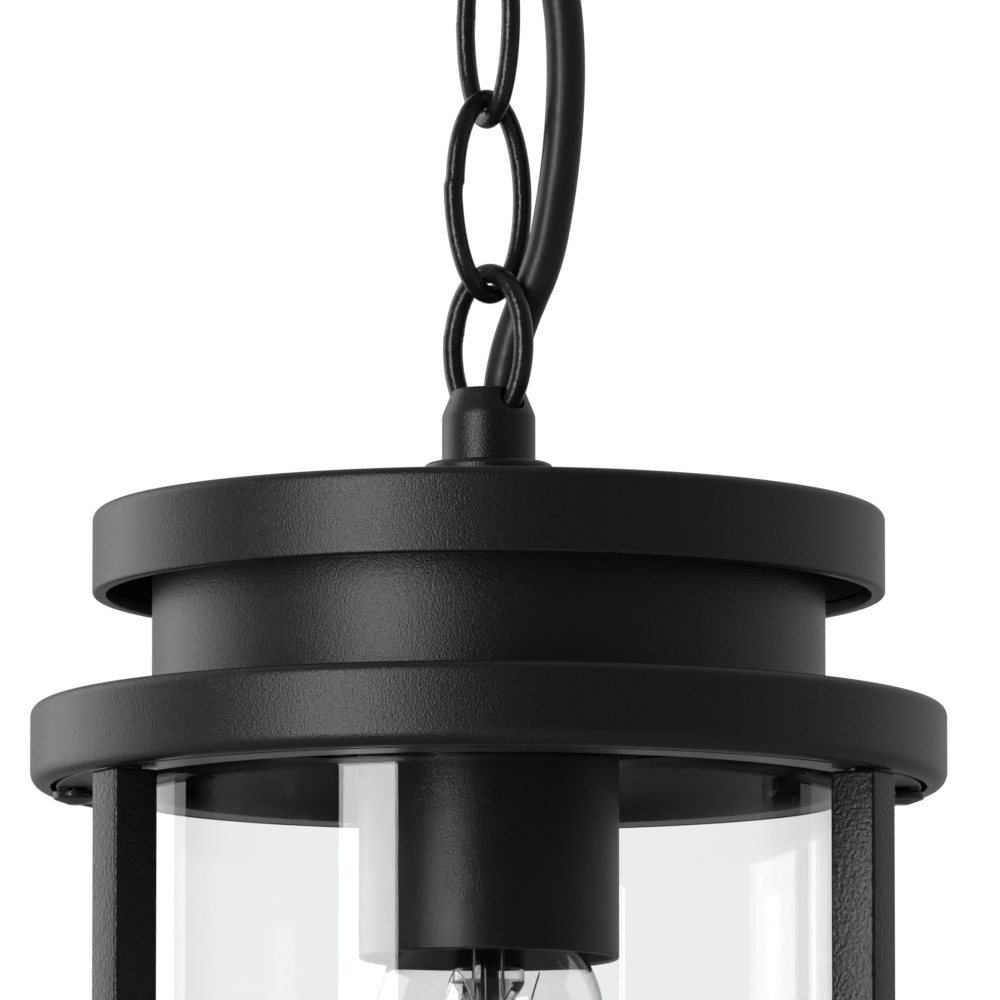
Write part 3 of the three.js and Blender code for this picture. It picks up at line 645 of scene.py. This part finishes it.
# Captive screws: black domed heads with a knurled rim, done up by hand when the lamp is changed.
def captive_screw(name, node, body):
    low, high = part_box(node)
    centre = ((low.x + high.x) / 2, (low.y + high.y) / 2)
    head_top = (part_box("cage_ring_top")[0].z - ring_bottom) / mm - 0.3
    bottom = (low.z - ring_bottom) / mm
    top = (high.z - ring_bottom) / mm
    section = rounded([(0, bottom), (1.6, bottom, 0.2), (4.7, bottom + 1.1, 0.9), (4.7, head_top, 0.3),
                       (2, head_top), (2, top, 0.4), (0, top)], 6)
    turned_piece(name, section, chain_paint, "black_coat", body, node, centre=centre, segments=64)


captive_screw("captive_head_left", "captive_screw_left", "captive_screw_l")
captive_screw("captive_head_right", "captive_screw_right", "captive_screw_r")

# Lamp: blown glass ball on a short neck, with a nickel-plated screw cap.
bulb_clear = clear_glass("bulb_glass_clear", (0.95, 0.945, 0.94), 0.00002)
ball_height = -45.1
cap_mouth = -24.3


def ball_arc(radius, meets, steps):
    first = asin(meets / radius)
    angles = [first - (first + pi / 2) * i / steps for i in range(steps + 1)]
    return [(radius * cos(angle), ball_height + radius * sin(angle)) for angle in angles]


outside = ball_arc(22.5, sqrt(22.5 ** 2 - 12 ** 2), 48)
inside = ball_arc(21.9, sqrt(21.9 ** 2 - 11.4 ** 2), 48)[::-1]
ball_section = [(11.4, cap_mouth + 5), (12, cap_mouth + 5)] + outside[:-1]
ball_section += [(0, ball_height - 22.5), (0, ball_height - 21.9)] + inside[1:]
turned_piece("bulb_ball", ball_section, bulb_clear, "bulb_glass", "bulb", "bulb_glass", segments=128)

nickel, nickel_shader = new_material("nickel_plate", (0.6, 0.58, 0.54), 0.24, 1.0)
grain(nickel, nickel_shader, 500, 0.00003, 0.18, 0.32)
cap_low, cap_high = (((z.z - ring_bottom) / mm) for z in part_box("bulb_cap"))
cap_section = [(12.3, cap_low), (12.9, cap_low)]
thread_turns = int((cap_high - cap_low - 8) / 3.6)
for k in range(thread_turns * 8 + 1):
    cap_section.append((12.78 + 0.3 * cos(k * pi / 4), cap_low + 1.6 + k * 0.45))
cap_section += [(11, cap_high - 4.3), (4.6, cap_high - 1.6), (4.6, cap_high - 0.6), (3.4, cap_high),
                (0, cap_high),
                (0, cap_high - 4.3), (12.1, cap_high - 6)]
turned_piece("bulb_cap_threaded", cap_section, nickel, "nickel", "bulb", "bulb_cap", segments=96)

# Lamp's inside: a pressed glass mount that carries the lead wires, and a filament looped round it.
mount_section = rounded([
    (10.2, cap_mouth + 5), (10.2, cap_mouth + 4.2), (7, cap_mouth + 1, 1.5), (7, ball_height + 7, 2),
    (1.6, ball_height - 2, 1), (1.6, ball_height - 9, 0.5), (2.4, ball_height - 10.5, 0.8),
    (0, ball_height - 11.5), (0, ball_height + 1), (6.4, ball_height + 7.4, 1), (6.4, cap_mouth + 5),
], 5)
turned_piece("bulb_mount_glass", mount_section, bulb_clear, "bulb_glass", "bulb", "bulb_mount", segments=64)
exhaust_section = [(1, ball_height + 2), (2, ball_height + 2), (2, cap_mouth + 4.5), (1, cap_mouth + 4.5)]
turned_piece("bulb_exhaust_tube", exhaust_section, bulb_clear, "bulb_glass", "bulb", segments=48)
tungsten, tungsten_shader = new_material("bare_wire", (0.4, 0.36, 0.31), 0.35, 1.0)
grain(tungsten, tungsten_shader, 900, 0.00002)
wire_points = []
for i in range(7):
    angle = radians(20 + i * 320 / 6)
    wire_points.append((10.5 * cos(angle), 10.5 * sin(angle), ball_height + (-10 if i % 2 else 9)))
wire_mesh = bmesh.new()
lamp_centre = Vector((*axis_xy, ring_bottom))
tube(wire_mesh, [lamp_centre + mm * p for p in smooth_route(wire_points, 14)], 0.12 * mm, 10)
for side in (-1, 1):
    lead = [(side * 2.9, 0, cap_mouth + 3), (side * 2.9, 0, ball_height + 5), (side * 4, 0.4, ball_height + 1),
            (side * 8.4, 2, ball_height + 2)]
    tube(wire_mesh, [lamp_centre + mm * p for p in smooth_route(lead, 8)], 0.4 * mm, 12)
wires = link_object("lead_wires", wire_mesh, tungsten)
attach(wires, "bulb")
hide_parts("bulb_filament")

# Floor and light: a pale floor well below, a wall of light all round, and two soft boxes on the left.
floor_mesh = bmesh.new()
bmesh.ops.create_grid(floor_mesh, x_segments=1, y_segments=1, size=40)
bmesh.ops.translate(floor_mesh, vec=(0, 0, -6), verts=floor_mesh.verts)
pale, _ = new_material("pale_floor", (0.8, 0.8, 0.8), 0.8)
floor = link_object("floor", floor_mesh, pale)
floor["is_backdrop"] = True

world = bpy.data.worlds.new("studio")
scene.world = world
world.use_nodes = True
sky, links = world.node_tree.nodes, world.node_tree.links
direction = sky.new("ShaderNodeTexCoord")
parts = sky.new("ShaderNodeSeparateXYZ")
links.new(direction.outputs["Generated"], parts.inputs["Vector"])
wall = sky.new("ShaderNodeMapRange")
wall.inputs["From Min"].default_value = -0.95
wall.inputs["From Max"].default_value = 0.5
wall.inputs["To Min"].default_value = 0.03
wall.inputs["To Max"].default_value = 0.5
links.new(parts.outputs["Y"], wall.inputs["Value"])
# Seen straight or through glass, the wall is white. What it lights, or is mirrored in, gets a ramp
# instead: dark at the front, mid grey from half way back.
first_ray, seen_white = 1.5, 1.02
rays = sky.new("ShaderNodeLightPath")
turned_back = sky.new("ShaderNodeMath")
turned_back.operation = "SUBTRACT"
links.new(rays.outputs["Ray Depth"], turned_back.inputs[0])
links.new(rays.outputs["Transmission Depth"], turned_back.inputs[1])
straight = sky.new("ShaderNodeMath")
straight.operation = "LESS_THAN"
straight.inputs[1].default_value = first_ray
links.new(turned_back.outputs["Value"], straight.inputs[0])
choose = sky.new("ShaderNodeMix")
choose.inputs["B"].default_value = seen_white
links.new(straight.outputs["Value"], choose.inputs["Factor"])
links.new(wall.outputs["Result"], choose.inputs["A"])
links.new(choose.outputs["Result"], sky["Background"].inputs["Strength"])
sky["Background"].inputs["Color"].default_value = (1, 1, 1, 1)


def soft_box(name, azimuth, height, distance, wide, tall, radiance):
    """A rectangular light at an azimuth from the front, facing the head. Radiance in white units."""
    lamp = bpy.data.lights.new(name, "AREA")
    lamp.shape = "RECTANGLE"
    lamp.size, lamp.size_y = wide, tall
    lamp.energy = radiance * pi * wide * tall
    place = bpy.data.objects.new(name, lamp)
    a = radians(azimuth)
    place.location = look_at + Vector((distance * sin(a), -distance * cos(a), height))
    place.rotation_euler = (look_at - place.location).to_track_quat("-Z", "Y").to_euler()
    scene.collection.objects.link(place)


soft_box("left_strip", -37, 0.0, 1.6, 0.5, 1.8, 8.4)
soft_box("left_wall", -122, 0.1, 1.6, 1.3, 2.0, 1.6)

scene.view_settings.view_transform = "Standard"

low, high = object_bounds()
